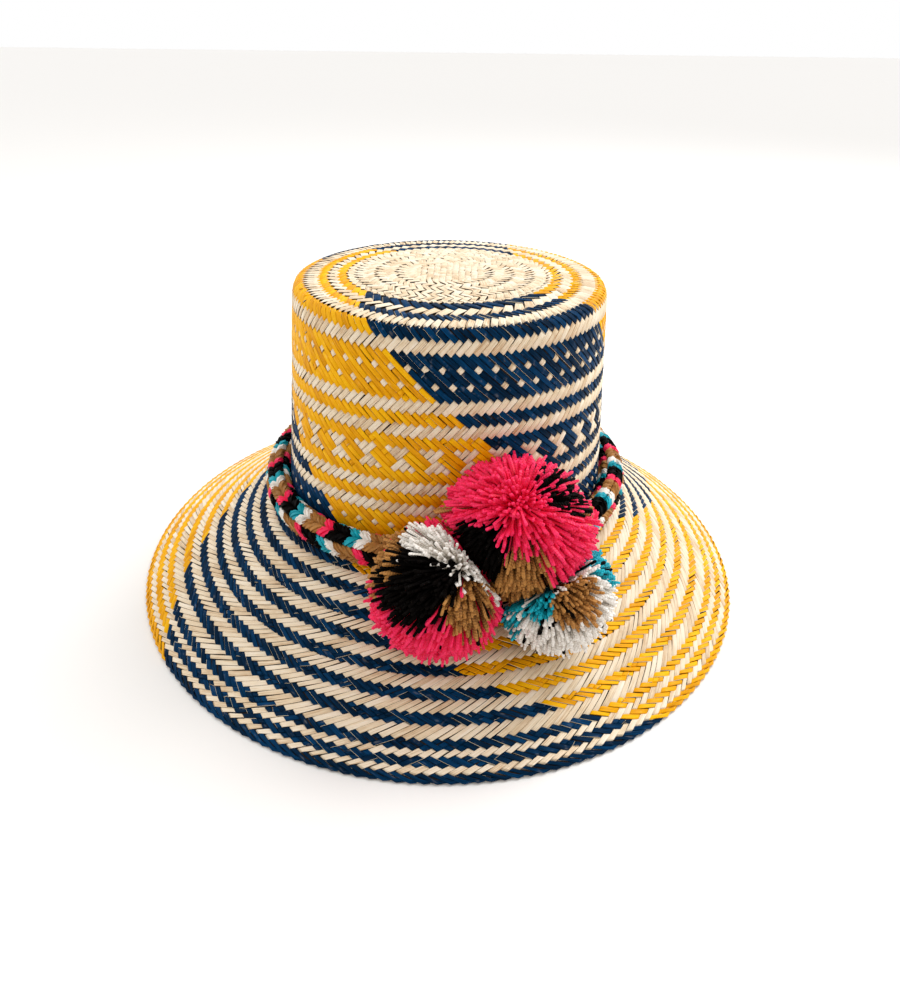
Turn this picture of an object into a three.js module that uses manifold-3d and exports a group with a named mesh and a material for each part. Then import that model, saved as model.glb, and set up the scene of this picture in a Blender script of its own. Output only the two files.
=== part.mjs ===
// A wide-brimmed hat woven in one piece from dyed and natural straw, with a
// braided yarn band round the foot of the crown and three yarn pompoms in front.
// Millimetres, +Z up. The brim's edge lies on z = 0 and its circle is centred on
// the origin; -Y is the front, where the pompoms are.

import * as THREE from 'three';
import { mergeVertices } from 'three/addons/utils/BufferGeometryUtils.js';
import Module from 'manifold-3d';

// Straw body
const crownBaseRadius = 92.5;
const crownTopRadius = 81.8; // where the wall and the tip would meet in a sharp corner
const crownHeight = 116; // from the root of the brim to that corner
const crownShift = 3.8; // the crown stands this far to the right on the brim
const shoulderReach = 6; // how far the rounded corner reaches along wall and tip
const tipRise = 1.5; // the tip is slightly domed
const rootReach = 4; // rounding where the crown turns into the brim
const brimRadius = 183.5;
const brimDrop = 56; // from the root of the brim to its edge
const brimRootSlope = 40; // degrees below level
const brimEdgeSlope = 23;
const strawWall = 2.5; // two layers of straw, the dyed and the natural
const edgeFold = 2.5; // height of the folded edge
const foldWidth = 4; // width of the fold's flat underside
const foldChamfer = 0.8;
const bodySegments = 56;
const curveSteps = 4;

// Braided band
const bandRadius = 8;
const bandGap = 0.4; // clearance to the straw, so that the solids stay separate
const stitchRows = 119; // V-shaped rows of the braid, about 5.3 mm each
const stitchDepth = 0.9;
const bandSides = 8;

// Pompoms: each centre is given from the crown's axis, and all rest on the
// band, the wall or the brim, pressed flat where they touch
const pompoms = [
  { name: 'pompom_top', centre: [37.8, -101.5, 89.6], radius: 33, colour: 0xf52a67 },
  { name: 'pompom_left', centre: [-0.2, -122.5, 61.5], radius: 32, colour: 0x15120f },
  { name: 'pompom_right', centre: [56.7, -117.5, 55.3], radius: 28.5, colour: 0xe9e4dc },
];
const lockCount = 22;
const headShare = 0.85; // radius of the head inside the locks, the rest as shares too
const lockWidth = 0.32; // half the width of a lock near its splayed end
const lockFoot = 0.4; // where a lock starts inside the head
const lockShoulder = 0.9; // where its splayed end rounds over
const restGap = 0.35; // clearance to the straw and to the band
const partingGap = 0.4; // clearance between two pompoms

const edgeTop = edgeFold;
const rootHeight = edgeTop + brimDrop;
const cornerHeight = rootHeight + crownHeight;

const wasm = await Module();
wasm.setup();

// Turns a three.js geometry into a solid that can be joined and cut.
function toSolid(geometry) {
  const plain = geometry.index ? geometry.clone() : geometry;
  for (const name of ['normal', 'uv']) plain.deleteAttribute(name);
  const merged = mergeVertices(plain, 1e-4);
  const flat = [];
  const corners = merged.index.array;
  for (let i = 0; i < corners.length; i += 3) {
    const [a, b, c] = [corners[i], corners[i + 1], corners[i + 2]];
    if (a !== b && b !== c && c !== a) flat.push(a, b, c);
  }
  const mesh = new wasm.Mesh({
    numProp: 3,
    vertProperties: new Float32Array(merged.attributes.position.array),
    triVerts: new Uint32Array(flat),
  });
  return new wasm.Manifold(mesh);
}

// Turns a solid back into a three.js geometry.
function toGeometry(solid) {
  const mesh = solid.getMesh();
  const geometry = new THREE.BufferGeometry();
  geometry.setAttribute('position', new THREE.BufferAttribute(mesh.vertProperties, 3));
  geometry.setIndex(new THREE.BufferAttribute(mesh.triVerts, 1));
  geometry.computeVertexNormals();
  return geometry;
}

// Keeps the main body where a cut leaves crumbs behind the band.
function mainBody(solid) {
  return solid.decompose().reduce((best, one) => (one.volume() > best.volume() ? one : best));
}

function finish(name, geometry, colour, roughness) {
  const material = new THREE.MeshStandardMaterial({ color: colour, roughness, metalness: 0 });
  const mesh = new THREE.Mesh(geometry, material);
  mesh.name = name;
  return mesh;
}

// The crown sits off the brim's centre; the offset fades out towards the edge.
function shiftAt(radius) {
  const share = THREE.MathUtils.clamp((radius - crownBaseRadius) / (brimRadius - crownBaseRadius), 0, 1);
  return crownShift * (1 - share);
}

// Turns a profile of (radius, height) points, listed from the top down, round
// the crown's axis.
function turned(profile, segments) {
  const geometry = new THREE.LatheGeometry([...profile].reverse(), segments);
  geometry.rotateX(Math.PI / 2);
  const place = geometry.attributes.position;
  for (let i = 0; i < place.count; i += 1) {
    const radius = Math.hypot(place.getX(i), place.getY(i));
    place.setX(i, place.getX(i) + shiftAt(radius));
  }
  return geometry;
}

// Moves a profile along its normals, towards the outside for a positive distance.
function offsetProfile(profile, distance) {
  return profile.map((point, i) => {
    const before = profile[Math.max(i - 1, 0)];
    const after = profile[Math.min(i + 1, profile.length - 1)];
    const along = new THREE.Vector2().subVectors(after, before).normalize();
    const moved = new THREE.Vector2(point.x - along.y * distance, point.y + along.x * distance);
    if (point.x === 0) moved.set(0, point.y + distance);
    return moved;
  });
}

// Outer face of the straw, from the middle of the tip down to the edge.
function outerProfile() {
  const rootTan = Math.tan(THREE.MathUtils.degToRad(brimRootSlope));
  const edgeTan = Math.tan(THREE.MathUtils.degToRad(brimEdgeSlope));
  const wallLean = (crownBaseRadius - crownTopRadius) / crownHeight;
  const width = brimRadius - crownBaseRadius;
  const bend = (brimDrop - edgeTan * width) / (rootTan - edgeTan);
  const path = new THREE.Path();
  path.moveTo(0, cornerHeight + tipRise);
  path.quadraticCurveTo(
    crownTopRadius / 2, cornerHeight + tipRise,
    crownTopRadius - shoulderReach, cornerHeight,
  );
  path.quadraticCurveTo(
    crownTopRadius, cornerHeight,
    crownTopRadius + wallLean * shoulderReach, cornerHeight - shoulderReach,
  );
  path.lineTo(crownBaseRadius - wallLean * rootReach, rootHeight + rootReach);
  path.quadraticCurveTo(
    crownBaseRadius, rootHeight,
    crownBaseRadius + rootReach, rootHeight - rootTan * rootReach,
  );
  path.quadraticCurveTo(
    crownBaseRadius + bend, rootHeight - rootTan * bend,
    brimRadius, edgeTop,
  );
  return path.getPoints(curveSteps);
}

// The straw body: tip, crown wall, brim and folded edge are one weave.
function strawBody(outer) {
  const inner = offsetProfile(outer, -strawWall).filter(
    (point) => point.x < brimRadius - foldWidth,
  );
  const fold = [
    new THREE.Vector2(brimRadius, foldChamfer),
    new THREE.Vector2(brimRadius - foldChamfer, 0),
    new THREE.Vector2(brimRadius - foldWidth, 0),
  ];
  const profile = [...outer, ...fold, ...inner.reverse()];
  return toGeometry(toSolid(turned(profile, bodySegments)));
}

// Centre of the band's section, resting on the wall and on the brim.
function bandSeat() {
  const lean = Math.atan((crownBaseRadius - crownTopRadius) / crownHeight);
  const slope = THREE.MathUtils.degToRad(brimRootSlope);
  const reach = bandRadius + bandGap;
  const radius = crownBaseRadius + reach / Math.cos(lean);
  const rise = reach / Math.cos(slope) - Math.tan(slope) * (radius - crownBaseRadius);
  return { radius, height: rootHeight + rise };
}

// A ring that follows the foot of the crown. The section's radius is given by a
// function of the place along the ring and of the place round the section.
function ringOnBrim(sides, steps, sectionRadius) {
  const seat = bandSeat();
  const geometry = new THREE.TorusGeometry(seat.radius, bandRadius, sides, steps);
  const place = geometry.attributes.position;
  for (let i = 0; i < place.count; i += 1) {
    const step = i % (steps + 1);
    const side = Math.floor(i / (steps + 1));
    const turn = (step / steps) * Math.PI * 2;
    const round = (side / sides) * Math.PI * 2;
    const section = sectionRadius(step, side);
    const radius = seat.radius + section * Math.cos(round);
    place.setXYZ(
      i,
      radius * Math.cos(turn) + shiftAt(seat.radius),
      radius * Math.sin(turn),
      seat.height + section * Math.sin(round),
    );
  }
  return geometry;
}

// The braided band: rows of plump stitches that alternate round the section.
function braidedBand() {
  const steps = stitchRows * 2;
  const lumps = ringOnBrim(bandSides, steps, (step, side) => (
    (step + side) % 2 === 0 ? bandRadius : bandRadius - stitchDepth
  ));
  return toGeometry(toSolid(lumps));
}

// Directions spread evenly over a ball.
function spread(count) {
  const golden = Math.PI * (3 - Math.sqrt(5));
  return Array.from({ length: count }, (_, i) => {
    const z = 1 - (2 * i + 1) / count;
    const side = Math.sqrt(1 - z * z);
    return new THREE.Vector3(side * Math.cos(golden * i), side * Math.sin(golden * i), z);
  });
}

// A head with locks of yarn fused to it, before it is pressed into place.
function tuft(pompom) {
  const radius = pompom.radius;
  let solid = toSolid(new THREE.SphereGeometry(radius * headShare, 10, 7));
  const up = new THREE.Vector3(0, 1, 0);
  const side = [[0, lockFoot], [lockWidth, lockShoulder], [lockWidth * 0.6, 0.98], [0, 1]];
  for (const direction of spread(lockCount)) {
    const profile = side.map(([out, along]) => new THREE.Vector2(out * radius, along * radius));
    const lock = new THREE.LatheGeometry(profile, 6);
    lock.applyQuaternion(new THREE.Quaternion().setFromUnitVectors(up, direction));
    solid = solid.add(toSolid(lock));
  }
  return solid.translate(pompom.place.toArray());
}

// The half space on the far side of the plane where two pompoms meet.
function beyond(pompom, other) {
  const away = new THREE.Vector3().subVectors(other.place, pompom.place);
  const distance = away.length();
  const meet = (distance ** 2 + pompom.radius ** 2 - other.radius ** 2) / (2 * distance);
  const span = pompom.radius * 4;
  const block = new THREE.BoxGeometry(span, span, span);
  block.translate(0, 0, meet - partingGap / 2 + span / 2);
  const turn = new THREE.Quaternion().setFromUnitVectors(
    new THREE.Vector3(0, 0, 1),
    away.normalize(),
  );
  block.applyQuaternion(turn);
  block.translate(pompom.place.x, pompom.place.y, pompom.place.z);
  return toSolid(block);
}

const outer = outerProfile();
for (const pompom of pompoms) {
  pompom.place = new THREE.Vector3(...pompom.centre);
  pompom.place.x += crownShift;
}

// What the pompoms rest on, swollen by the clearance.
const strawSeat = offsetProfile(outer, restGap);
strawSeat.push(new THREE.Vector2(strawSeat.at(-1).x, 0), new THREE.Vector2(0, 0));
const strawRest = toSolid(turned(strawSeat, bodySegments));
const bandRest = toSolid(ringOnBrim(bandSides, bodySegments, () => bandRadius + restGap));

const hat = new THREE.Group();
hat.add(finish('straw_body', strawBody(outer), 0xe8d3b0, 0.6));
hat.add(finish('braided_band', braidedBand(), 0xa06f3a, 0.9));
for (const pompom of pompoms) {
  let solid = tuft(pompom).subtract(strawRest).subtract(bandRest);
  for (const other of pompoms) {
    if (other !== pompom) solid = solid.subtract(beyond(pompom, other));
  }
  hat.add(finish(pompom.name, toGeometry(mainBody(solid)), pompom.colour, 0.95));
}

export default hat;
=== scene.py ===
import math
import bpy
import bmesh
import numpy as np
from mathutils import Matrix, Vector


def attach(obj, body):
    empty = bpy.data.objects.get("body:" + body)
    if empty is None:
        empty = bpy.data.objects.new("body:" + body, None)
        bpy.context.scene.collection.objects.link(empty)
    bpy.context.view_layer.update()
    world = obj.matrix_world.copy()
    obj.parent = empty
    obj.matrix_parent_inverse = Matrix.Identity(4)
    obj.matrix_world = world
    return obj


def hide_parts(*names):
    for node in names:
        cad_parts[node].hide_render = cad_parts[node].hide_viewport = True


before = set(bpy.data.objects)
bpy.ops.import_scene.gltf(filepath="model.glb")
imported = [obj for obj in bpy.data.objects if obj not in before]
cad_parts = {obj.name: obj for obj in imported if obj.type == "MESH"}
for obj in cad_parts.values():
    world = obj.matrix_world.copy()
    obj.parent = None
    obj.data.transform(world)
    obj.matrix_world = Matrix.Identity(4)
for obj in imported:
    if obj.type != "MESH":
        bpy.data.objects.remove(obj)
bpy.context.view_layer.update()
mm = 0.001

# The hat's own frame: the brim's edge stands on z = 0 and -Y is the front.
# Angles round the crown are counted from the front, towards +X.


# Outline of the straw: the same curves as the solid body, in millimetres
hatForm = {
    "crownBase": 92.5,
    "crownTop": 81.8,
    "crownHeight": 116.0,
    "crownShift": 3.8,  # the crown stands off the middle of the brim
    "shoulderReach": 6.0,
    "tipRise": 1.5,
    "rootReach": 4.0,
    "brimRadius": 183.5,
    "brimDrop": 56.0,
    "rootSlope": 40.0,  # degrees
    "edgeSlope": 23.0,
    "edgeTop": 2.5,
    "bead": 1.1,  # radius of the folded edge
    "beadHeight": 1.55,
    "wall": 2.5,
    "bulge": 5.0,  # how far the foot of the crown stands out of round
    "bulgeAt": -48.0,  # degrees from the front
    "bulgeWidth": 25.0,  # degrees
    "bulgeTop": (172.0, 110.0),  # there is none above this height, and all of it this far below
    "bulgeOut": (150.0, 50.0),  # none outside this radius, and all of it this far inside
    # how far out the tip's rings lie at the sides and the back, less than 0 towards the
    # middle, for lengths along the outline
    "drawAlong": (40, 51.9, 60.1, 67.1, 73.5, 80.1, 86.4, 100),
    "draw": (0, 2.2, -1.5, -3.2, -5.2, -4.2, -2.4, 0),
}


def arcPoints(start, bend, end, steps=40):
    t = np.linspace(0, 1, steps + 1)[:, None]
    start, bend, end = np.array(start), np.array(bend), np.array(end)
    return (1 - t) ** 2 * start + 2 * t * (1 - t) * bend + t ** 2 * end


def strawOutline(form):
    rootTan = math.tan(math.radians(form["rootSlope"]))
    edgeTan = math.tan(math.radians(form["edgeSlope"]))
    lean = (form["crownBase"] - form["crownTop"]) / form["crownHeight"]
    rootZ = form["edgeTop"] + form["brimDrop"]
    topZ = rootZ + form["crownHeight"]
    base, top, reach = form["crownBase"], form["crownTop"], form["shoulderReach"]
    foot = form["rootReach"]
    width = form["brimRadius"] - base
    bend = (form["brimDrop"] - edgeTan * width) / (rootTan - edgeTan)
    pieces = [
        arcPoints((0, topZ + form["tipRise"]), (top / 2, topZ + form["tipRise"]), (top - reach, topZ), 80),
        arcPoints((top - reach, topZ), (top, topZ), (top + lean * reach, topZ - reach)),
        np.array([(top + lean * reach, topZ - reach), (base - lean * foot, rootZ + foot)]),
        arcPoints((base - lean * foot, rootZ + foot), (base, rootZ), (base + foot, rootZ - rootTan * foot)),
        arcPoints((base + foot, rootZ - rootTan * foot), (base + bend, rootZ - rootTan * bend),
                  (form["brimRadius"] - form["bead"], form["edgeTop"]), 80),
    ]
    # the folded edge turns under the brim
    turn = np.radians(np.linspace(90 - form["edgeSlope"], -120, 24))
    middle = np.array((form["brimRadius"] - form["bead"], form["beadHeight"]))
    pieces.append(middle + form["bead"] * np.stack([np.cos(turn), np.sin(turn)], -1))
    line = np.concatenate(pieces)
    keep = np.concatenate([[True], np.hypot(*np.diff(line, axis=0).T) > 1e-4])
    return line[keep]


class Outline:
    # Arc length, radius, height and outward normal along the outline

    def __init__(self, line):
        steps = np.hypot(*np.diff(line, axis=0).T)
        self.along = np.concatenate([[0], np.cumsum(steps)])
        self.radius, self.height = line.T
        slope = np.gradient(line, self.along, axis=0)
        slope /= np.hypot(*slope.T)[:, None]
        self.normalR, self.normalZ = -slope[:, 1], slope[:, 0]

    def at(self, along):
        pick = lambda values: np.interp(along, self.along, values)
        return pick(self.radius), pick(self.height), pick(self.normalR), pick(self.normalZ)


outline = Outline(strawOutline(hatForm))


def crownOffset(radius):
    share = (radius - hatForm["crownBase"]) / (hatForm["brimRadius"] - hatForm["crownBase"])
    return hatForm["crownShift"] * (1 - np.clip(share, 0, 1))


# Worn out of round: the foot of the crown bulges at the front left, and takes the band
# along for a share of the way
def outOfRound(points, share=1.0):
    offset = points[..., :2] - np.array((hatForm["crownShift"], 0.0))
    radius = np.linalg.norm(offset, axis=-1)
    degrees = np.degrees(np.arctan2(offset[..., 0], -offset[..., 1]))
    push = share * hatForm["bulge"] * np.exp(-((degrees - hatForm["bulgeAt"]) / hatForm["bulgeWidth"]) ** 2)
    (top, fade), (limit, reach) = hatForm["bulgeTop"], hatForm["bulgeOut"]
    push *= np.clip((top - points[..., 2]) / fade, 0, 1) * np.clip((limit - radius) / reach, 0, 1)
    moved = points.copy()
    moved[..., :2] += offset * (push / np.maximum(radius, 1))[..., None]
    return moved


# A point on the straw, from its arc length, its angle and its height off the surface
def onStraw(along, angle, lift):
    fromFront = np.abs((angle + math.pi) % (2 * math.pi) - math.pi)
    draw = np.interp(along, hatForm["drawAlong"], hatForm["draw"])
    along = along + draw * np.sin(np.minimum(fromFront, math.pi / 2)) ** 2
    radius, height, normalR, normalZ = outline.at(along)
    out = radius + lift * normalR
    return outOfRound(np.stack([
        out * np.sin(angle) + crownOffset(radius),
        -out * np.cos(angle),
        height + lift * normalZ,
    ], -1))


# Colours and finishes

def linearOf(hexCode):
    parts = [int(hexCode[i:i + 2], 16) / 255 for i in (1, 3, 5)]
    return tuple(c / 12.92 if c <= 0.04045 else ((c + 0.055) / 1.055) ** 2.4 for c in parts) + (1.0,)


def newMaterial(name):
    material = bpy.data.materials.new(name)
    material.use_nodes = True
    return material, material.node_tree.nodes["Principled BSDF"]


# Adds a node; names set its properties, "in" sets its sockets and links feed them
def addNode(material, kind, settings, sockets=(), links=()):
    node = material.node_tree.nodes.new(kind)
    for key, value in settings.items():
        if key == "stops":
            while len(node.color_ramp.elements) < len(value):
                node.color_ramp.elements.new(0.5)
            for element, (place, colour) in zip(node.color_ramp.elements, value):
                element.position, element.color = place, linearOf(colour)
        else:
            setattr(node, key, value)
    for key, value in dict(sockets).items():
        node.inputs[key].default_value = value
    for key, source in dict(links).items():
        material.node_tree.links.new(source, node.inputs[key])
    return node


straw = {
    "natural": ("#B98F60", "#ECD8B8", "#FAF0DF"),
    "yellow": ("#C27A00", "#F3AC00", "#FFC800"),
    "navy": ("#000813", "#012643", "#034473"),
    "undyed": "#EBDDC2",  # the edge of some dyed strands took no colour
    "fibreMm": 0.42,  # fibres lie 0.1 mm apart; drawn coarser, so that they show
    "streakMm": 14.0,
}


# Split palm straw, dyed in the bundle and woven: fine fibres run along each strand,
# its tone drifts from strand to strand, and its skin has a soft shine
def wovenStraw():
    material, shader = newMaterial("palmStraw")
    uv = addNode(material, "ShaderNodeUVMap", {"uv_map": "strand"})
    info = addNode(material, "ShaderNodeAttribute", {"attribute_name": "dye"})
    tell = addNode(material, "ShaderNodeSeparateColor", {}, {}, {"Color": info.outputs["Color"]})
    fine = addNode(material, "ShaderNodeMapping", {},
                   {"Scale": (1 / straw["streakMm"], 1 / straw["fibreMm"], 1)},
                   {"Vector": uv.outputs["UV"]})
    fibre = addNode(material, "ShaderNodeTexNoise", {}, {"Scale": 1.0, "Detail": 2.0, "Roughness": 0.6},
                    {"Vector": fine.outputs["Vector"]})
    blotch = addNode(material, "ShaderNodeTexNoise", {}, {"Scale": 0.3, "Detail": 2.0},
                     {"Vector": uv.outputs["UV"]})
    tone = addNode(material, "ShaderNodeMath", {"operation": "MULTIPLY_ADD"}, {1: 0.3, 2: -0.25},
                   {0: tell.outputs["Green"]})
    streaked = addNode(material, "ShaderNodeMath", {"operation": "MULTIPLY_ADD"}, {1: 1.05},
                       {0: fibre.outputs["Fac"], 2: tone.outputs[0]})
    mixed = addNode(material, "ShaderNodeMath", {"operation": "MULTIPLY_ADD", "use_clamp": True}, {1: 0.3},
                    {0: blotch.outputs["Fac"], 2: streaked.outputs[0]})
    colours = []
    for dye in ("natural", "yellow", "navy"):
        stops = list(zip((0.2, 0.55, 0.9), straw[dye]))
        ramp = addNode(material, "ShaderNodeValToRGB", {"stops": stops}, {}, {"Fac": mixed.outputs[0]})
        colours.append(ramp.outputs["Color"])
    current = colours[0]
    for limit, colour in ((0.25, colours[1]), (0.75, colours[2])):
        chosen = addNode(material, "ShaderNodeMath", {"operation": "GREATER_THAN"}, {1: limit},
                         {0: tell.outputs["Red"]})
        current = addNode(material, "ShaderNodeMix", {"data_type": "RGBA"}, {},
                          {0: chosen.outputs[0], 6: current, 7: colour}).outputs[2]
    # pale blotches at random, mixed towards the undyed colour
    paleBlotch = addNode(material, "ShaderNodeMapRange", {},
                    {"From Min": 0.62, "From Max": 0.78, "To Max": 0.12}, {"Value": blotch.outputs["Fac"]})
    current = addNode(material, "ShaderNodeMix", {"data_type": "RGBA"}, {7: linearOf(straw["undyed"])},
                      {0: paleBlotch.outputs["Result"], 6: current}).outputs[2]
    bare = addNode(material, "ShaderNodeMath", {"operation": "GREATER_THAN"}, {1: 0.5},
                   {0: tell.outputs["Blue"]})
    current = addNode(material, "ShaderNodeMix", {"data_type": "RGBA"}, {7: linearOf(straw["undyed"])},
                      {0: bare.outputs[0], 6: current}).outputs[2]
    rough = addNode(material, "ShaderNodeMapRange", {}, {"To Min": 0.38, "To Max": 0.6},
                    {"Value": fibre.outputs["Fac"]})
    relief = addNode(material, "ShaderNodeBump", {}, {"Strength": 0.4, "Distance": 0.1 * mm},
                     {"Height": fibre.outputs["Fac"]})
    shine = addNode(material, "ShaderNodeMapRange", {}, {"To Min": 0.22, "To Max": 0.05},
                    {"Value": tell.outputs["Red"]})
    for name, source in (("Base Color", current), ("Roughness", rough.outputs["Result"]),
                         ("Normal", relief.outputs["Normal"]),
                         ("Specular IOR Level", shine.outputs["Result"])):
        material.node_tree.links.new(source, shader.inputs[name])
    shader.inputs["IOR"].default_value = 1.45
    shader.inputs["Specular IOR Level"].default_value = 0.15
    return material


# The straw under the top layer, its colour painted dark as the shade of the strands that cross it
def shadedStraw():
    material, shader = newMaterial("shadedStraw")
    place = addNode(material, "ShaderNodeTexCoord", {})
    grain = addNode(material, "ShaderNodeTexNoise", {}, {"Scale": 900.0, "Detail": 2.0},
                    {"Vector": place.outputs["Object"]})
    stops = [(0.3, "#1C1209"), (0.7, "#4A331B")]
    ramp = addNode(material, "ShaderNodeValToRGB", {"stops": stops}, {}, {"Fac": grain.outputs["Fac"]})
    material.node_tree.links.new(ramp.outputs["Color"], shader.inputs["Base Color"])
    shader.inputs["Roughness"].default_value = 0.8
    return material


yarnOrder = ["pink", "turquoise", "brown", "white", "black"]
# each colour runs from dark to light; the dark end is painted shade, deep among the strands and in the
# grooves of the twist
yarn = {
    "pink": ("#E60036", "#FF2964"),
    "turquoise": ("#00515C", "#0FB2C6"),
    "brown": ("#4E2A0A", "#BC8445"),
    "white": ("#BEB6AA", "#FDF9F3"),
    "black": ("#010000", "#080504"),
    "plyMm": 1.25,  # one turn of the two plies
    "thickMm": 1.1,
}


# Plied acrylic yarn, soft and matt: the twist of its plies runs slantwise round it
def pliedYarn():
    material, shader = newMaterial("acrylicYarn")
    uv = addNode(material, "ShaderNodeUVMap", {"uv_map": "strand"})
    info = addNode(material, "ShaderNodeAttribute", {"attribute_name": "dye"})
    tell = addNode(material, "ShaderNodeSeparateColor", {}, {}, {"Color": info.outputs["Color"]})
    turns = addNode(material, "ShaderNodeMapping", {},
                    {"Scale": (1 / yarn["plyMm"], 0.5 / yarn["thickMm"], 1)}, {"Vector": uv.outputs["UV"]})
    # this scale gives one band in a unit
    twist = addNode(material, "ShaderNodeTexWave", {"bands_direction": "DIAGONAL"},
                    {"Scale": 0.628, "Distortion": 0.5}, {"Vector": turns.outputs["Vector"]})
    # yarn combed out for the braid hardly shows its twist
    plied = addNode(material, "ShaderNodeMath", {"operation": "MULTIPLY_ADD"}, {1: -0.8, 2: 1.0},
                    {0: tell.outputs["Blue"]})
    turned = addNode(material, "ShaderNodeMath", {"operation": "MULTIPLY"}, {},
                     {0: twist.outputs["Fac"], 1: plied.outputs[0]})
    # painted shade: the colour darkens in the grooves of the twist and with the strand's shade value
    depth = addNode(material, "ShaderNodeMath", {"operation": "MULTIPLY_ADD"}, {1: 0.35},
                    {0: turned.outputs[0], 2: tell.outputs["Green"]})
    current = None
    for i, name in enumerate(yarnOrder):
        stops = list(zip((0.15, 1.0), yarn[name]))
        ramp = addNode(material, "ShaderNodeValToRGB", {"stops": stops}, {}, {"Fac": depth.outputs[0]})
        if current is None:
            current = ramp.outputs["Color"]
            continue
        chosen = addNode(material, "ShaderNodeMath", {"operation": "GREATER_THAN"}, {1: (i - 0.5) / 4},
                         {0: tell.outputs["Red"]})
        current = addNode(material, "ShaderNodeMix", {"data_type": "RGBA"}, {},
                          {0: chosen.outputs[0], 6: current, 7: ramp.outputs["Color"]}).outputs[2]
    relief = addNode(material, "ShaderNodeBump", {}, {"Strength": 0.5, "Distance": 0.25 * mm},
                     {"Height": turned.outputs[0]})
    shine = addNode(material, "ShaderNodeMapRange", {}, {"To Min": 0.26, "To Max": 0.03},
                    {"Value": tell.outputs["Red"]})
    material.node_tree.links.new(shine.outputs["Result"], shader.inputs["Specular IOR Level"])
    material.node_tree.links.new(current, shader.inputs["Base Color"])
    material.node_tree.links.new(relief.outputs["Normal"], shader.inputs["Normal"])
    shader.inputs["Specular IOR Level"].default_value = 0.08
    shader.inputs["Roughness"].default_value = 0.45
    return material


strawFinish, shadeFinish, yarnFinish = wovenStraw(), shadedStraw(), pliedYarn()


# Meshes made of many strips

# One strip: a box cut across into sections. Gives each corner's step along it, its
# side (-1 or 1), its level (-1 or 1) and the faces.
def stripForm(sections):
    form = bmesh.new()
    bmesh.ops.create_cube(form, size=2.0)
    long = [e for e in form.edges if abs(e.verts[0].co.x - e.verts[1].co.x) > 1]
    bmesh.ops.subdivide_edges(form, edges=long, cuts=sections - 2, use_grid_fill=True)
    form.verts.ensure_lookup_table()
    place = np.array([v.co[:] for v in form.verts])
    quads = np.array([[v.index for v in f.verts] for f in form.faces])
    form.free()
    step = np.rint((place[:, 0] + 1) / 2 * (sections - 1)).astype(int)
    return step, place[:, 1], place[:, 2], quads


# Joins batches of strips into one object. A batch is (points, quads, uv, dye).
def joinStrips(name, batches, material, bend):
    points, quads, uvs, dyes = [], [], [], []
    start = 0
    for place, form, uv, dye in batches:
        count, size = place.shape[:2]
        quads.append((form[None] + start + np.arange(count)[:, None, None] * size).reshape(-1, 4))
        points.append(place.reshape(-1, 3))
        uvs.append(uv.reshape(-1, 2))
        dyes.append(dye.reshape(-1, 4))
        start += count * size
    points, quads = np.concatenate(points) * mm, np.concatenate(quads)
    uvs, dyes = np.concatenate(uvs), np.concatenate(dyes)
    mesh = bpy.data.meshes.new(name)
    mesh.vertices.add(len(points))
    mesh.vertices.foreach_set("co", points.astype(np.float32).ravel())
    mesh.loops.add(quads.size)
    mesh.loops.foreach_set("vertex_index", quads.astype(np.int32).ravel())
    mesh.polygons.add(len(quads))
    mesh.polygons.foreach_set("loop_start", np.arange(0, quads.size, 4, dtype=np.int32))
    mesh.update(calc_edges=True)
    layer = mesh.uv_layers.new(name="strand")
    layer.uv.foreach_set("vector", uvs[quads.ravel()].astype(np.float32).ravel())
    dye = mesh.color_attributes.new("dye", "FLOAT_COLOR", "POINT")
    dye.data.foreach_set("color", dyes.astype(np.float32).ravel())
    mesh.polygons.foreach_set("use_smooth", np.ones(len(quads), dtype=bool))
    mesh.set_sharp_from_angle(angle=math.radians(bend))
    mesh.materials.append(material)
    piece = bpy.data.objects.new(name, mesh)
    bpy.context.scene.collection.objects.link(piece)
    print(name, "-", len(quads) * 2, "triangles")
    return piece


# The weave. Where a dyed strand crosses a natural one, either may lie on top. Rows of
# crossings run round the hat. A dyed strand leans `lean` of a column a row one way, and
# a natural one leans the rest of a column the other way.

def bandOf(kind, rows, depth):
    return [(kind, i, depth) for i in range(rows)]


def dyedOnTop(kind, place, column):
    if kind == "natural":
        return False
    if kind == "dots":  # three rows, a row with dots, three, dots between those, three
        return not ((place == 3 and column % 2 == 0) or (place == 7 and column % 2 == 1))
    if kind == "crosses":
        natural = {3: (1, 2, 3), 4: (1, 2), 5: (1,), 6: (1,), 7: (0, 1), 8: (3, 0, 1)}
        return column % 4 not in natural.get(place, ())
    return True


crownRow = 1.996  # mm
tone = {"natural": 0.0, "yellow": 0.5, "navy": 1.0}

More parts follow.
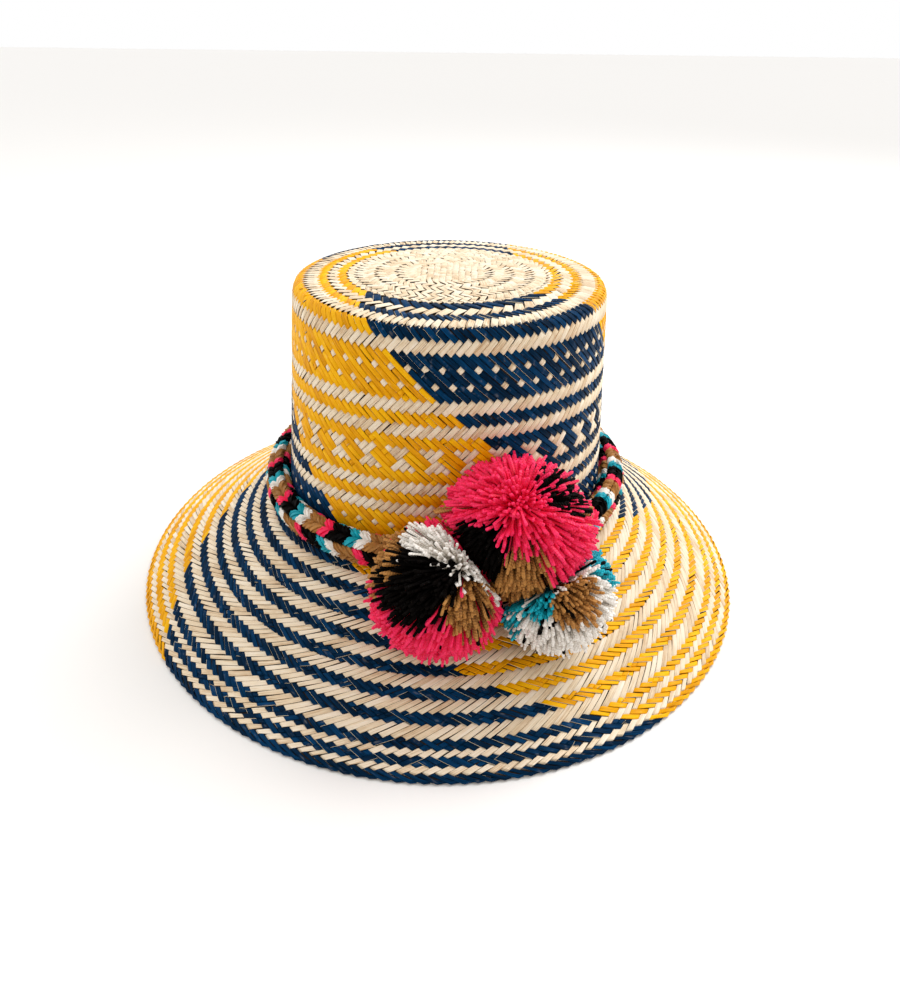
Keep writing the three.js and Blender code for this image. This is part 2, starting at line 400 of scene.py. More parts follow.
# Each zone runs outwards from `start`, the length along the outline from the middle of
# the tip. `turns` gives the degrees where the dye changes at `turnAt`, and `drift` how
# many degrees the change moves in a millimetre. `stray` is the share of dyed crossings
# where a dyed cross strand lies on top, and `frontStray` what is added at the front.
plain = [(0, "natural")]
zones = [
    {"name": "tip", "columns": 33, "start": 17.5, "lean": 0.6, "turns": plain,
     "rows": bandOf("dyed", 2, 2.7) + bandOf("natural", 2, 2.7)},
    {"name": "tip", "columns": 48, "start": 28.3, "lean": 0.62, "turns": plain,
     "rows": bandOf("dyed", 2, 2.7) + bandOf("natural", 2, 2.7)},
    {"name": "tip", "columns": 66, "start": 39.1, "lean": 0.64, "turns": plain,
     "rows": bandOf("dyed", 2, 2.3) + bandOf("natural", 2, 2.3) + bandOf("dyed", 1, 1.8)
        + bandOf("natural", 1, 1.8)},
    {"name": "tip", "columns": 66, "start": 51.9, "lean": 0.6, "turnAt": 55.9,
     "turns": [(-143, "yellow"), (-46.5, "navy"), (51.5, "yellow"), (140.5, "navy")],
     "rows": bandOf("dyed", 2, 4.1) + bandOf("natural", 2, 3.5)},
    {"name": "tip", "columns": 132, "start": 67.1, "lean": 0.65, "turnAt": 67.6,
     "turns": [(-136.5, "yellow"), (-35, "navy"), (54.5, "yellow"), (149.5, "navy")],
     "rows": bandOf("dyed", 2, 3.2) + bandOf("natural", 2, 3.3)},
    {"name": "crown", "columns": 132, "start": 80.1, "lean": 0.544, "turnAt": 87.9, "drift": 0.734,
     "phase": 2.8, "stray": 0.03, "wedge": 0.15, "close": 0.3,
     "turns": [(-106, "yellow"), (-20, "navy"), (60, "yellow"), (158, "navy")],
     "rows": bandOf("dyed", 3, 2.1) + bandOf("natural", 3, crownRow) + bandOf("dots", 11, crownRow)
        + bandOf("natural", 3, crownRow) + bandOf("dyed", 3, crownRow) + bandOf("natural", 3, crownRow)
        + bandOf("crosses", 12, crownRow) + bandOf("natural", 3, crownRow) + bandOf("dyed", 3, crownRow)
        + bandOf("natural", 3, crownRow) + bandOf("dots", 11, crownRow)},
]

# Brim bands by their distance in from the edge: outer and inner limit, kind and rows
brimTurns = [(-77, "navy"), (13, "yellow"), (104.5, "navy"), (193, "yellow")]
brimZones = [
    (132, [("natural", 106.6, 98.8, 5), ("dyed", 98.8, 93.4, 4)]),
    (144, [("natural", 93.4, 87.5, 4), ("dyed", 87.5, 82.1, 4), ("natural", 82.1, 76.1, 4),
           ("dyed", 76.1, 70.7, 4)]),
    (166, [("natural", 70.7, 64.8, 4), ("dyed", 64.8, 59.4, 4), ("natural", 59.4, 53.4, 4),
           ("dyed", 53.4, 48.0, 4)]),
    (190, [("natural", 48.0, 42.0, 4), ("dyed", 42.0, 36.6, 4), ("natural", 36.6, 30.7, 4),
           ("dyed", 30.7, 25.3, 4), ("natural", 25.3, 18.9, 4), ("dyed", 18.9, 14.3, 3),
           ("natural", 14.3, 11.2, 2), ("dyed", 11.2, 7.0, 3), ("natural", 7.0, 4.2, 2)]),
]
edgeAlong = float(outline.along[np.argmax(outline.radius)])
for columns, bands in brimZones:
    rows = []
    for kind, inner, outer, count in bands:
        rows += bandOf(kind, count, (inner - outer) / count)
    zones.append({"name": "brim", "columns": columns, "start": edgeAlong - bands[0][1], "lean": 0.5,
                  "turnAt": edgeAlong - 39.3, "drift": 0.68, "stray": 0.015, "frontStray": 0.3,
                  "turns": brimTurns, "rows": rows})
# the last strands lean more and fold round the edge
zones.append({**zones[-1], "columns": 190, "lean": 1.1, "stray": 0.0, "frontStray": 0.0,
              "start": edgeAlong - 4.2, "bareShare": 0.5, "reach": 0.0, "rows": bandOf("dyed", 3, 2.5)})

strand = {
    "foot": 0.492,  # half a strand's width, in columns
    "crest": 0.40,  # half the width of its flat top
    "proud": 0.2,  # how far it stands out from the outline, in mm
    "bevel": 0.25,
    "tilt": 0.10,  # one side lies higher, over its neighbour
    "dip": 0.8,  # how far an end sinks under the strand that crosses it
    "inset": 0.20,  # where the dip begins, in rows
    "tuck": 0.16,  # how far it runs on below, in rows
    "wedge": 0.3,  # share of the ends that are pinched and leave a dark slit
    "pinched": (0.66, 0.88),  # width left at such an end
    "whole": (0.93, 1.01),  # and at the others
    "swell": 0.16,  # how far the middle of a strip stands out more
    "loose": 0.06,  # how far a strip may lie higher or lower
    "bareShare": 0.3,  # dyed strands that show an undyed edge
    "close": 1.0,  # natural strands lie against each other
    "reach": 0.3,  # how far natural strands reach over dyed ones at the sides of the brim, in rows
}


# Stretches where one strand stays on top: family (0 dyed, 1 natural), strand, first and
# last row, and whether it is a dyed strand on top by exception
def floatsOf(zone, inside, random):
    rows, columns = zone["rows"], zone["columns"]
    dyed = np.array([[dyedOnTop(kind, place, column) for column in range(columns)]
                     for kind, place, depth in rows])
    inBand = np.array([[row[0] != "natural"] * columns for row in rows])
    turn = (np.arange(columns)[None] + zone["lean"] * np.arange(len(rows))[:, None]) * 360 / columns
    front = np.exp(-(((turn + 192) % 360 - 180) / 32) ** 2)
    odds = zone.get("stray", 0) + zone.get("frontStray", 0) * front
    stray = dyed & inBand & (random.uniform(size=dyed.shape) < odds)
    found = []
    for family in (0, 1):
        for own in range(columns):
            lane = own if family == 0 else (own - np.arange(len(rows))) % columns
            top, odd = dyed[np.arange(len(rows)), lane], stray[np.arange(len(rows)), lane]
            if family == 0:
                shown = np.where(top & ~odd, 1, 0)
            else:
                shown = np.where(odd, 2, np.where(top, 0, 1))
            if inside:
                shown = np.where(shown == 0, 1, 0)
            start = 0
            for k in range(1, len(rows) + 1):
                if k == len(rows) or shown[k] != shown[start]:
                    if shown[start]:
                        found.append((family, own, start, k - 1, shown[start] - 1))
                    start = k
    return np.array(found)


def dyeAt(zone, along, angle):
    first = zone["turns"][0][0]
    degrees = np.degrees(angle) - zone.get("drift", 0) * (along - zone.get("turnAt", 0))
    degrees = (degrees - first) % 360 + first
    value = np.zeros_like(degrees)
    for start, name in zone["turns"]:
        value = np.where(degrees >= start, tone[name], value)
    return value


# Lays strips that run from row `low` to row `high`, all of one family and length.
# `spot` gives the place on the outline for a strip's own column, travel and side, and
# `aside` says from 0 to 1 how far it lies from the front of the brim, where strips loosen.
def layStrips(own, low, high, sections, spot, dye, aside, inside, mirrored, scale, shares, random):
    step, across, level, quads = stripForm(sections)
    size = len(own)
    share = np.clip((step[None] - 1) / (sections - 3), 0, 1)
    bare = ((dye > 0) & (random.uniform(size=size) < shares["bareShare"] + 0.5 * aside))[:, None]
    grown = (shares["reach"] * aside * (dye == 0))[:, None]
    close = (shares["close"] * (dye == 0))[:, None]
    crest = strand["crest"] + 0.055 * close - 0.05 * bare * aside[:, None]
    foot = strand["foot"] + 0.02 * close + 0.07 * bare * aside[:, None]
    low, high, own = low[:, None] - 0.5 - grown, high[:, None] + 0.5 + grown, own[:, None]
    travel = low + strand["inset"] + (high - low - 2 * strand["inset"]) * share
    travel = np.where(step[None] == 0, low - strand["tuck"], travel)
    travel = np.where(step[None] == sections - 1, high + strand["tuck"], travel)
    atEnd = (step[None] == 0) | (step[None] == sections - 1)
    pinch = random.uniform(*strand["pinched"], (2, size, 1))
    whole = random.uniform(*strand["whole"], (2, size, 1))
    ends = np.where(random.uniform(size=(2, size, 1)) < shares["wedge"], pinch, whole)
    slim = ends[0] * (1 - share) + ends[1] * share
    half = np.where(level[None] > 0, crest, foot) * slim
    side = across[None] * half + (slim - 1) * 0.25
    place, angle = spot(own, travel, side)
    swell = strand["swell"] * np.sin(math.pi * share) * (1 + aside[:, None])
    lift = np.where(level > 0, swell, -strand["bevel"] * (1 - 0.5 * close))
    lift = lift + strand["proud"] + strand["tilt"] * across[None]
    lift = lift + random.uniform(-strand["loose"], strand["loose"], (size, 1))
    lift = lift - np.where(atEnd, strand["dip"], 0)
    if inside:
        lift = -hatForm["wall"] - lift
    colour = np.zeros(side.shape + (4,))
    colour[..., 0] = dye[:, None]
    colour[..., 1] = random.uniform(0, 1, (size, 1))
    colour[..., 2] = bare & ((level < 0) & (across > 0))[None] & ~atEnd
    colour[..., 3] = 1
    uv = np.stack([travel * scale[0] + random.uniform(0, 400, (size, 1)),
                   side * scale[1] + random.uniform(0, 400, (size, 1))], -1)
    faces = quads[:, ::-1] if mirrored != inside else quads
    return onStraw(place, angle, lift), faces, uv, colour


# Lays every float of a zone, in batches of equal length
def layZone(zone, inside, random):
    depths = np.array([row[2] for row in zone["rows"]])
    limits = zone["start"] + np.concatenate([[0], np.cumsum(depths)])
    limits = np.concatenate([[limits[0] - depths[0]], limits, [limits[-1] + depths[-1]]])
    marks = np.arange(len(limits)) - 1.5
    column = 2 * math.pi / zone["columns"]
    phase = math.radians(zone.get("phase", 0))
    found = floatsOf(zone, inside, random)
    length = found[:, 3] - found[:, 2] + 1
    sections = np.where(length <= 2, 4, np.where(length == 3, 5, 4 + (length + 1) // 2))
    if inside:
        sections = np.minimum(sections, 4)
    radius = outline.at(limits.mean())[0]
    scale = (depths.mean() * 1.4, column * radius * 0.7)
    batches = []
    for family in (0, 1):

        def spot(own, travel, side):
            row = travel + side
            turn = own - side if family == 0 else own - travel
            return np.interp(row, marks, limits), (turn + zone["lean"] * row) * column + phase

        for count in np.unique(sections):
            pick = found[(sections == count) & (found[:, 0] == family)]
            if not len(pick):
                continue
            own, low, high = pick[:, 1], pick[:, 2], pick[:, 3]
            middle = (low + high) / 2
            turn = own if family == 0 else own - middle
            angle = (turn + zone["lean"] * middle) * column + phase
            dye = dyeAt(zone, np.interp(middle, marks, limits), angle)
            dye = np.where((family == 0) | (pick[:, 4] == 1), dye, 0.0)
            aside = np.zeros(len(own))
            if zone["name"] == "brim":
                aside = 1 - np.exp(-(((np.degrees(angle) + 180) % 360 - 180) / 50) ** 2)
            batches.append(layStrips(own, low, high, int(count), spot, dye, aside, inside,
                                     family == 0, scale, {**strand, **zone}, random))
    return batches


# The start of the weave: a small square patch, one over and one under
def layStart(inside, random):
    width, reach = 3.3, 18.5
    cells = range(-6, 7)
    batches = []
    for family in (0, 1):

        def spot(own, travel, side):
            there, across = travel * width, (own + side) * width
            x, y = (there, across) if family == 0 else (across, there)
            return np.hypot(x, y), np.arctan2(x, -y)

        held = [(i, j) for i in cells for j in cells
                if math.hypot(i, j) * width < reach and (i + j + family) % 2 == (1 if inside else 0)]
        own, low = (np.array(values) for values in zip(*held))
        none = np.zeros(len(own))
        batches.append(layStrips(own, low, low, 4, spot, none, none, inside, family == 1,
                                 (width, width), strand, random))
    return batches


def layWeave(name, zoneName, inside, seed):
    random = np.random.default_rng(seed)
    batches = layStart(inside, random) if zoneName == "tip" else []
    for zone in zones:
        if zone["name"] == zoneName and not (inside and zone is zones[-1]):  # that one is folded under
            batches += layZone(zone, inside, random)
    return joinStrips(name, batches, strawFinish, 40)


outerWeave = [
    layWeave("tipWeave", "tip", False, 11),
    layWeave("crownWeave", "crown", False, 12),
    layWeave("brimWeave", "brim", False, 13),
]
innerWeave = [
    layWeave("tipInside", "tip", True, 21),
    layWeave("crownInside", "crown", True, 22),
    layWeave("brimInside", "brim", True, 23),
]


# The layer between, closed at the tip and at the edge; its dark colour is painted shade, seen in the gaps
# between the top strands
def strawCore():
    outer = outline.at(np.linspace(0, edgeAlong - 0.6, 60))
    form = bmesh.new()
    line = []
    for level, order in ((-0.75, slice(None)), (-1.75, slice(None, None, -1))):
        radius = outer[0] + level * outer[2]
        height = outer[1] + level * outer[3]
        radius[0] = 0
        line += [form.verts.new((r * mm, 0, z * mm)) for r, z in zip(radius[order], height[order])]
    edges = [form.edges.new(pair) for pair in zip(line[:-1], line[1:])]
    bmesh.ops.spin(form, geom=line + edges, cent=(0, 0, 0), axis=(0, 0, 1), angle=2 * math.pi,
                   steps=96, use_merge=True)
    bmesh.ops.remove_doubles(form, verts=form.verts, dist=0.01 * mm)
    for vert in form.verts:
        vert.co.x += crownOffset(math.hypot(vert.co.x, vert.co.y) / mm) * mm
        vert.co = Vector(outOfRound(np.array(vert.co) / mm)) * mm
    bmesh.ops.recalc_face_normals(form, faces=form.faces)
    mesh = bpy.data.meshes.new("strawCore")
    form.to_mesh(mesh)
    form.free()
    mesh.materials.append(shadeFinish)
    piece = bpy.data.objects.new("strawCore", mesh)
    bpy.context.scene.collection.objects.link(piece)
    return piece


core = strawCore()
for piece in [core] + outerWeave + innerWeave:
    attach(piece, "root")
    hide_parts("straw_body")
print("straw done")


# Yarn strands

# Draws strands of square section along paths (count, sections, 3), in mm. `half` is half a strand's
# thickness at each section, `shade` is painted shade along it, and `combed` is 1 where its twist hardly
# shows.
def drawStrands(paths, half, colour, shade, combed, random):
    count, sections = paths.shape[:2]
    step, across, level, quads = stripForm(sections)
    along = np.gradient(paths, axis=1)
    along /= np.linalg.norm(along, axis=2, keepdims=True) + 1e-9
    aside = np.cross(along, random.normal(size=(count, 1, 3)))
    aside /= np.linalg.norm(aside, axis=2, keepdims=True) + 1e-9
    over = np.cross(along, aside)
    reach = np.broadcast_to(half, (count, sections))[:, step, None]
    outwards = aside[:, step] * across[None, :, None] + over[:, step] * level[None, :, None]
    points = paths[:, step] + reach * outwards
    lengths = np.linalg.norm(np.diff(paths, axis=1), axis=2)
    run = np.concatenate([np.zeros((count, 1)), np.cumsum(lengths, 1)], 1)
    corner = np.where(level < 0, (1 + across) / 2, (5 - across) / 2)
    uv = np.stack([run[:, step] + random.uniform(0, 50, (count, 1)),
                   np.broadcast_to(corner * yarn["thickMm"] * 0.5, (count, len(step)))], -1)
    dye = np.zeros((count, len(step), 4))
    dye[..., 0] = (np.asarray(colour) / 4)[:, None]
    # the green channel carries painted shade along the strand
    dye[..., 1] = np.broadcast_to(shade, (count, sections))[:, step]
    dye[..., 2] = combed
    dye[..., 3] = 1
    return points, quads, uv, dye


band = {
    "ringRadius": 99.6,
    "height": 62.4,
    "radius": 8.0,
    "flat": 0.82,  # it lies flatter against the wall than it is tall
    "follow": 0.6,  # how far it gives way to the bulge of the crown
    "rows": 119,
    "order": ["turquoise", "white", "brown", "brown", "pink", "black", "black"],
    "firstRow": -25.0,  # degrees round the crown where a turquoise row of the top column lies
    "columns": (65, -25, -115, 155),  # degrees round the section, from outwards to up
    "yarns": 3,
}


def onBand(angle, around, radius):
    out = band["ringRadius"] + radius * np.cos(around) * band["flat"]
    return outOfRound(np.stack([
        out * np.sin(angle) + hatForm["crownShift"],
        -out * np.cos(angle),
        band["height"] + radius * np.sin(around) + 0 * angle,
    ], -1), band["follow"])


def braidedBand():
    random = np.random.default_rng(31)
    pitch = 2 * math.pi / band["rows"]
    share = np.array([0.0, 0.13, 0.36, 0.64, 0.87, 1.0])
    height = np.array([6.2, 7.7, 8.5, 8.5, 7.7, 6.2])
    spreadOut = np.array([0.35, 0.8, 1.0, 1.0, 0.8, 0.35])
    paths, colours, halves = [], [], []
    for i, middle in enumerate(band["columns"]):
        for row in range(band["rows"]):
            colour = yarnOrder.index(band["order"][(row + 3 * i) % 7])
            centre = math.radians(band["firstRow"]) + row * pitch
            for leg in (-1, 1):
                for j in range(band["yarns"]):
                    lane = ((j - (band["yarns"] - 1) / 2) * 0.36 + random.uniform(-0.02, 0.02)) * spreadOut
                    angle = centre + (0.62 - 1.2 * share + lane) * pitch
                    reach = 2 + 42 * share + 9 * lane
                    bulge = 0.45 if j == 1 else 0.0
                    sunk = 0.86 if middle == band["columns"][3] else 1.0
                    paths.append(onBand(angle, math.radians(middle) + leg * np.radians(reach),
                                        (height + bulge + random.uniform(-0.06, 0.06)) * sunk))
                    colours.append(colour)
                    halves.append(np.array([0.5, 0.72, 0.78, 0.78, 0.72, 0.5]))
    paths, halves = np.array(paths), np.array(halves)
    shade = random.uniform(0.6, 0.9, (len(paths), 1))
    batch = drawStrands(paths, halves, colours, shade, 1.0, random)
    return joinStrips("braidYarn", [batch], yarnFinish, 80)


# A cord under the braid, coloured dark as painted shade between its strands, so that nothing shows between
# them
def bandCore():
    form = bmesh.new()
    centre = (band["ringRadius"] * mm, 0, band["height"] * mm)
    circle = bmesh.ops.create_circle(form, segments=20, radius=6.9 * mm)["verts"]
    bmesh.ops.scale(form, verts=circle, vec=(band["flat"], 1, 1))
    bmesh.ops.rotate(form, verts=circle, cent=(0, 0, 0),
                     matrix=Matrix.Rotation(math.radians(90), 3, "X"))
    bmesh.ops.translate(form, verts=circle, vec=centre)
    bmesh.ops.spin(form, geom=circle + form.edges[:], cent=(0, 0, 0), axis=(0, 0, 1), angle=2 * math.pi,
                   steps=180, use_merge=True)
    bmesh.ops.remove_doubles(form, verts=form.verts, dist=0.01 * mm)
    bmesh.ops.translate(form, verts=form.verts, vec=(hatForm["crownShift"] * mm, 0, 0))
    for vert in form.verts:
        vert.co = Vector(outOfRound(np.array(vert.co) / mm, band["follow"])) * mm
    bmesh.ops.recalc_face_normals(form, faces=form.faces)
    mesh = bpy.data.meshes.new("bandCore")
    form.to_mesh(mesh)
    form.free()
    mesh.materials.append(paintedShadeCore["brown"])
    piece = bpy.data.objects.new("bandCore", mesh)
    bpy.context.scene.collection.objects.link(piece)
    return piece


# Felted mass of yarn inside a pompom; its colour is painted shade, dark as the shade between the strands
def paintedShadeMass(name, dark, light):
    material, shader = newMaterial(name)
    place = addNode(material, "ShaderNodeTexCoord", {})
    grain = addNode(material, "ShaderNodeTexNoise", {}, {"Scale": 700.0, "Detail": 2.0},
                    {"Vector": place.outputs["Object"]})
    ramp = addNode(material, "ShaderNodeValToRGB", {"stops": [(0.35, dark), (0.7, light)]}, {},
                   {"Fac": grain.outputs["Fac"]})
    material.node_tree.links.new(ramp.outputs["Color"], shader.inputs["Base Color"])
    shader.inputs["Roughness"].default_value = 0.9
    return material


# the cores' colours are painted shade, darker than the yarn of each part
paintedShadeCore = {
    "brown": paintedShadeMass("yarnMassBrown", "#1E1208", "#5A3A1C"),
    "pink": paintedShadeMass("yarnMassPink", "#4A0218", "#B00A3C"),
    "black": paintedShadeMass("yarnMassBlack", "#020202", "#0C0A08"),
    "white": paintedShadeMass("yarnMassWhite", "#6B6458", "#A79F92"),
}
braid, cord = braidedBand(), bandCore()
for piece in (braid, cord):
    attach(piece, "root")
    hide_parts("braided_band")
print("band done")


# Pompoms. Directions in a pompom are given as seen in the front view: right, up and
# towards the eye. Each patch is a direction, its reach in degrees, its colour, the share of
# strands that take it and their length as a share. A later patch lies over an earlier one.
# A pompom's strands run from its knot, and `overhang` says how far they reach over another.

viewRight = np.array((0.999, 0.043, 0.010))
viewUp = np.array((-0.032, 0.547, 0.837))
viewNear = np.array((0.030, -0.836, 0.547))

pompoms = {
    "pompomTop": {
        "node": "pompom_top", "slot": "pink_yarn", "mass": "pink",
        "centre": (39.8, -103.8, 85.4), "radius": 32.7, "broad": 1.06, "strands": 3000,
        "knot": (-0.05, 0.34, 0.70), "main": "pink", "strays": 0.0,
        "overhang": {"pompomRight": 6.0, "pompomLeft": 2.0},
        "patches": [
            ((0.64, 0.58, 0.50), 27, "black", 0.75, 0.98),
            ((0.90, 0.0, 0.42), 12, "brown", 0.9, 1.0),
            ((-0.97, 0.10, 0.05), 16, "brown", 0.5, 1.04),
            ((0.18, -0.86, 0.48), 38, "brown", 1.0, 1.04),
            ((0.72, -0.32, 0.62), 27, "pink", 1.0, 1.08),
            ((-0.64, -0.40, 0.66), 29, "black", 1.0, 0.92),
        ],
    },
    "pompomLeft": {
        "node": "pompom_left", "slot": "black_yarn", "mass": "black",
        "centre": (3.6, -122.5, 61.5), "radius": 31.5, "broad": 1.0, "strands": 2700,
        "knot": (0.33, 0.38, 0.62), "main": "pink", "strays": 0.02,
        "overhang": {"pompomTop": -2.0},
        "patches": [
            ((0.30, 0.45, 0.85), 26, "white", 1.0, 0.96),
            ((-0.78, 0.58, 0.24), 34, "brown", 1.0, 1.0),
            ((-0.40, 0.20, 0.89), 41, "black", 1.0, 0.98),
            ((-0.74, 0.44, 0.51), 10, "brown", 0.7, 1.02),
            ((-0.24, 0.86, 0.47), 21, "white", 1.0, 1.0),
            ((0.08, 0.70, 0.72), 13, "white", 1.0, 0.96),
            ((0.74, 0.24, 0.63), 28, "white", 1.0, 1.0),
            ((0.52, -0.28, 0.80), 28, "brown", 1.0, 0.97),
        ],
    },
    "pompomRight": {
        "node": "pompom_right", "slot": "white_yarn", "mass": "white",
        "centre": (59.0, -117.7, 57.8), "radius": 27.6, "broad": 1.02, "strands": 2200,
        "knot": (-0.15, 0.25, 0.50), "main": "white", "strays": 0.05,
        "overhang": {"pompomTop": -6.0},
        "patches": [
            ((0.76, 0.62, 0.20), 29, "turquoise", 1.0, 1.02),
            ((-0.87, -0.40, 0.28), 22, "turquoise", 0.9, 1.0),
            ((-0.40, -0.08, 0.91), 21, "turquoise", 1.0, 0.98),
            ((0.26, -0.06, 0.96), 26, "brown", 1.0, 0.98),
        ],
    },
}


tuft = {
    "lock": 14,  # strands in a lock
    "gather": (-0.1, 0.4),  # how far a strand leans towards the middle of its lock
    "edge": 4.0,  # degrees by which the edge of a patch wanders
    "length": (0.055, 0.86, 1.12),  # spread, shortest and longest
    "knotSpread": 1.2,  # mm
    "follow": 0.7,  # how far strands follow the ball on their way out
    "follows": (0.7, 1.0),  # how high they lie there, as shares of its radius
    "wander": 1.3,  # mm
    "sections": (0.12, 0.5, 0.80, 0.93, 0.985, 1.0),
    "half": (0.40, 0.46, 0.48, 0.60, 0.56, 0.28),  # they splay at the cut end
    # painted shade along a strand: dark near the knot, and painted light towards the cut end
    "shade": (-1.3, -0.5, -0.2, 0.1, 0.35, 0.5),  # dark near the knot
    "trimmed": 8.0,  # strands that a neighbour would push further than this are left out
    "hidden": 7.0,  # and those that the hat would
}


# Moves points out of the wall, then out of the band and up off the brim. The band can push
# some back into the wall, and the crown's bulge isn't allowed for
def clearOfHat(points, gap):
    crownAxis = np.array((hatForm["crownShift"], 0.0))
    offset = points[..., :2] - crownAxis
    radius = np.linalg.norm(offset, axis=-1)
    unit = offset / radius[..., None]
    wall = (outline.height > 58.5) & (outline.along > 70)
    wallRadius = np.interp(-points[..., 2], -outline.height[wall], outline.radius[wall])
    radius = np.where(points[..., 2] > 40, np.maximum(radius, wallRadius + gap), radius)
    away = np.stack([radius - band["ringRadius"], points[..., 2] - band["height"]], -1)
    distance = np.linalg.norm(away, axis=-1)
    push = np.maximum(distance, band["radius"] + 0.8 + gap) / (distance + 1e-9)
    radius = band["ringRadius"] + away[..., 0] * push
    height = band["height"] + away[..., 1] * push
    brim = outline.along > 190
    centred = np.hypot(unit[..., 0] * radius + hatForm["crownShift"], unit[..., 1] * radius)
    brimHeight = np.interp(radius, outline.radius[brim][:-20], outline.height[brim][:-20])
    height = np.where(centred > 92, np.maximum(height, brimHeight + gap), height)
    return np.concatenate([unit * radius[..., None] + crownAxis, height[..., None]], -1)


# Keeps a pompom's strands on its own side of the plane where it meets another
def ownSide(points, own, other, loose=0.0):
    here, there = np.array(own["centre"]), np.array(other["centre"])
    away = there - here
    distance = np.linalg.norm(away)
    away /= distance
    meet = (distance ** 2 + own["radius"] ** 2 - other["radius"] ** 2) / (2 * distance)
    for name, reach in own["overhang"].items():
        if pompoms[name] is other:
            meet += reach
    past = np.maximum((points - here) @ away - (meet - 0.6 - loose), 0)
    return points - past[..., None] * away, past.max(axis=-1) if past.ndim > 1 else past


def pompom(name, seed):
    own = pompoms[name]
    random = np.random.default_rng(seed)
    count = own["strands"]
    z = 1 - (2 * np.arange(count) + 1) / count
    turn = np.arange(count) * math.pi * (3 - math.sqrt(5))
    ways = np.stack([np.sqrt(1 - z * z) * np.cos(turn), np.sqrt(1 - z * z) * np.sin(turn), z], -1)
    locks = ways[random.choice(count, count // tuft["lock"], replace=False)]
    nearest = locks[np.argmax(ways @ locks.T, axis=1)]
    gather = random.uniform(*tuft["gather"], (count, 1))
    ways += (nearest - ways) * gather + random.normal(scale=0.02, size=ways.shape)
    ways /= np.linalg.norm(ways, axis=1, keepdims=True)
    colour = np.full(count, yarnOrder.index(own["main"]))
    length = np.ones(count)
    view = np.stack([viewRight, viewUp, viewNear])
    for way, reach, patchColour, share, scale in own["patches"]:
        middle = np.array(way) @ view
        middle /= np.linalg.norm(middle)
        apart = np.degrees(np.arccos(np.clip(ways @ middle, -1, 1)))
        inside = apart + random.normal(scale=tuft["edge"], size=count) < reach
        inside &= random.uniform(size=count) < share
        colour[inside] = yarnOrder.index(patchColour)
        length[inside] = scale
    stray = random.uniform(size=count) < own["strays"]
    colour[stray] = yarnOrder.index("black")
    centre = np.array(own["centre"])
    radius = own["radius"]
    knotOut = np.array(own["knot"]) @ view * radius
    knotWay = knotOut / np.linalg.norm(knotOut)
    near = np.clip((ways @ knotWay + 0.8) / 1.3, 0, 1)[:, None]
    start = centre + knotOut * near + random.normal(scale=tuft["knotSpread"], size=ways.shape)
    spread, shortest, longest = tuft["length"]
    length = length[:, None] * random.normal(1.0, spread, (count, 1)).clip(shortest, longest)
    stretch = ways * radius * length
    stretch += (own["broad"] - 1) * (stretch @ viewRight)[:, None] * viewRight
    tip = centre + stretch
    # strands follow the ball between the knot and their tips, some higher than others
    crest = ways + knotWay * 0.8
    outward = radius * random.uniform(*tuft["follows"], (count, 1))
    crest *= outward / np.linalg.norm(crest, axis=1, keepdims=True)
    bow = (start + tip) / 2 * (1 - near * tuft["follow"]) + (centre + crest) * near * tuft["follow"]
    bow += random.normal(scale=tuft["wander"], size=bow.shape)
    share = np.array(tuft["sections"])[None, :, None]
    paths = ((1 - share) ** 2 * start[:, None] + 2 * share * (1 - share) * bow[:, None]
             + share ** 2 * tip[:, None])
    keep = np.ones(count, dtype=bool)
    for other in pompoms.values():
        if other is not own:
            paths, past = ownSide(paths, own, other, random.uniform(-0.6, 2.4, (count, 1)))
            keep &= past < tuft["trimmed"]
    before = paths[:, -1]
    paths = clearOfHat(paths, 0.6)
    keep &= np.linalg.norm(paths[:, -1] - before, axis=1) < tuft["hidden"]
    paths, colour = paths[keep], colour[keep]
    half = np.array(tuft["half"]) * random.uniform(0.9, 1.1, (len(paths), 1))
    shade = random.uniform(0.3, 0.8, (len(paths), 1)) + np.array(tuft["shade"])
    batch = drawStrands(paths, half, colour, shade, 0.0, random)
    return joinStrips(name, [batch], yarnFinish, 80)


# A pompom's inner ball, coloured as painted shade that shows between its strands
def pompomMass(name, share):
    own = pompoms[name]
    form = bmesh.new()
    bmesh.ops.create_icosphere(form, subdivisions=4, radius=own["radius"] * share)
    points = np.array([v.co[:] for v in form.verts]) + np.array(own["centre"])
    for other in pompoms.values():
        if other is not own:
            points = ownSide(points, own, other)[0]
    points = clearOfHat(points, 1.4)
    for vert, place in zip(form.verts, points):
        vert.co = Vector(place) * mm
    bmesh.ops.recalc_face_normals(form, faces=form.faces)
    mesh = bpy.data.meshes.new(name + "Mass")
    form.to_mesh(mesh)
    form.free()
    mesh.materials.append(paintedShadeCore[own["mass"]])
    piece = bpy.data.objects.new(name + "Mass", mesh)
    bpy.context.scene.collection.objects.link(piece)
    return piece


for seed, name in enumerate(pompoms):
    for piece in (pompom(name, 41 + seed), pompomMass(name, 0.6)):
        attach(piece, "root")
        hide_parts(pompoms[name]["node"])
print("pompoms done")


# Studio: pale floor, soft light, the photograph's view

def studioFloor():
    material, shader = newMaterial("paleFloor")
    shader.inputs["Base Color"].default_value = linearOf("#F4F3F1")
    shader.inputs["Roughness"].default_value = 0.9
    form = bmesh.new()
    bmesh.ops.create_grid(form, x_segments=1, y_segments=1, size=80.0)
    mesh = bpy.data.meshes.new("floor")
    form.to_mesh(mesh)
    form.free()
    mesh.materials.append(material)
    floor = bpy.data.objects.new("floor", mesh)
    bpy.context.scene.collection.objects.link(floor)


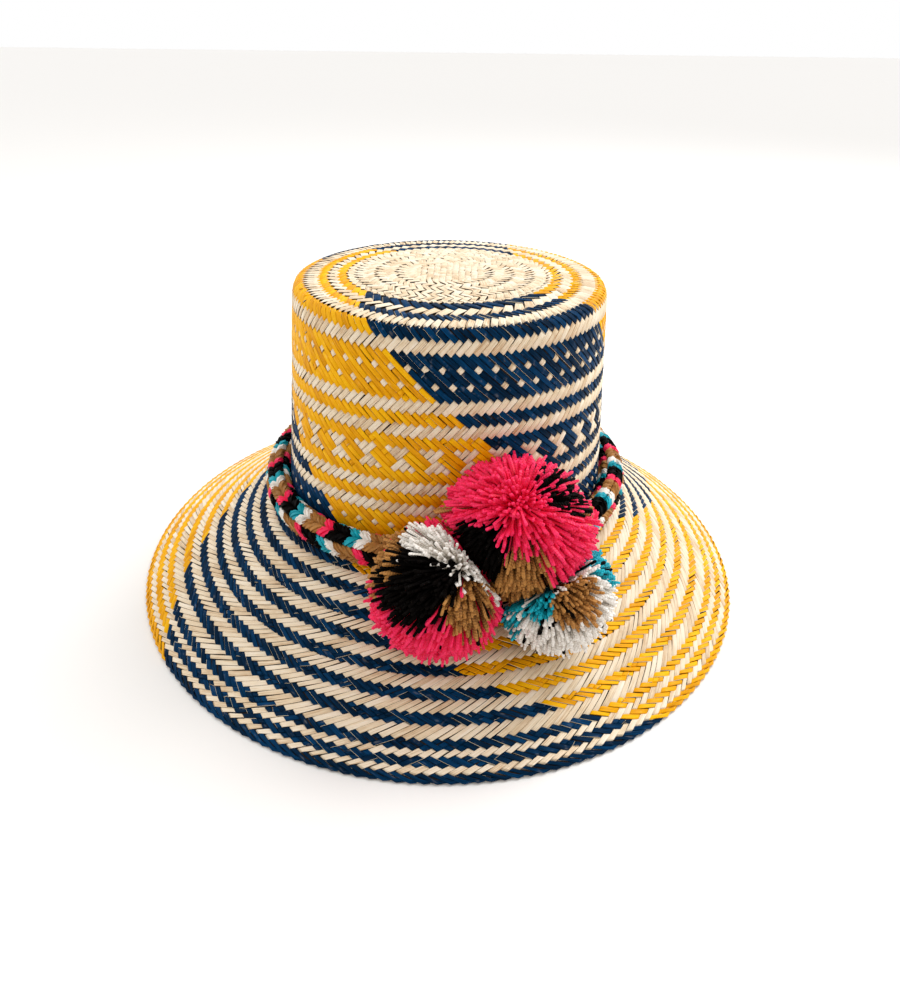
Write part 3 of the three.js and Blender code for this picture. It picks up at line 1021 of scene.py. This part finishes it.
def softBox(name, place, target, size, power):
    light = bpy.data.lights.new(name, "AREA")
    light.shape, light.size, light.energy = "SQUARE", size, power
    box = bpy.data.objects.new(name, light)
    box.location = place
    box.rotation_euler = (Vector(target) - Vector(place)).to_track_quat("-Z", "Y").to_euler()
    bpy.context.scene.collection.objects.link(box)


studio = {
    "eye": (0.01146, -0.36798, 0.27427),
    "right": (0.99902, 0.04303, 0.01037),
    "up": (-0.03223, 0.54656, 0.83680),
    "lens": 24.82,
    "shift": (0.0141, 0.0005),
    "sky": (0.235, 0.40, 0.54, 0.80),  # everywhere, and more towards the top, the back and the sides
}


def setCamera():
    data = bpy.data.cameras.new("frontView")
    data.lens, data.sensor_width = studio["lens"], 36.0
    data.shift_x, data.shift_y = studio["shift"]
    data.clip_start = 0.01
    camera = bpy.data.objects.new("frontView", data)
    right, up = Vector(studio["right"]).normalized(), Vector(studio["up"]).normalized()
    back = right.cross(up)
    camera.matrix_world = Matrix((right, up, back)).transposed().to_4x4()
    camera.location = studio["eye"]
    bpy.context.scene.collection.objects.link(camera)
    bpy.context.scene.camera = camera


# A white tent round the hat, darker and warmer in front, so that the crown's front lies in
# soft shade
def tentLight():
    world = bpy.data.worlds.new("tent")
    world.use_nodes = True
    bpy.context.scene.world = world
    back = world.node_tree.nodes["Background"]
    way = addNode(world, "ShaderNodeTexCoord", {})
    axes = addNode(world, "ShaderNodeSeparateXYZ", {}, {}, {0: way.outputs["Generated"]})
    base, top, rear, sides = studio["sky"]
    high = addNode(world, "ShaderNodeMapRange", {}, {"From Min": 0.0, "To Min": base, "To Max": base + top},
                   {"Value": axes.outputs["Z"]})
    far = addNode(world, "ShaderNodeMapRange", {"interpolation_type": "SMOOTHSTEP"},
                  {"From Min": -0.8, "From Max": 0.4, "To Max": rear}, {"Value": axes.outputs["Y"]})
    both = addNode(world, "ShaderNodeMath", {"operation": "ADD"}, {},
                   {0: high.outputs["Result"], 1: far.outputs["Result"]})
    aside = addNode(world, "ShaderNodeMath", {"operation": "POWER"}, {1: 2.0}, {0: axes.outputs["X"]})
    total = addNode(world, "ShaderNodeMath", {"operation": "MULTIPLY_ADD"}, {1: sides},
                    {0: aside.outputs[0], 2: both.outputs[0]})
    stops = [(0.35, "#FFDDB8"), (0.8, "#FFFFFF")]
    tint = addNode(world, "ShaderNodeValToRGB", {"stops": stops}, {}, {"Fac": total.outputs[0]})
    # the eye itself sees a plain white backdrop
    path = addNode(world, "ShaderNodeLightPath", {})
    seen = addNode(world, "ShaderNodeMath", {"operation": "MAXIMUM"}, {},
                   {0: total.outputs[0], 1: path.outputs["Is Camera Ray"]})
    shown = addNode(world, "ShaderNodeMix", {"data_type": "RGBA"}, {7: linearOf("#FFFFFF")},
                    {0: path.outputs["Is Camera Ray"], 6: tint.outputs["Color"]})
    world.node_tree.links.new(shown.outputs[2], back.inputs["Color"])
    world.node_tree.links.new(seen.outputs[0], back.inputs["Strength"])


studioFloor()
tentLight()
softBox("topLight", (0.9, 0.7, 1.5), (0, 0, 0.1), 0.8, 18)
setCamera()
bpy.context.scene.view_settings.view_transform = "Standard"

print("studio done")
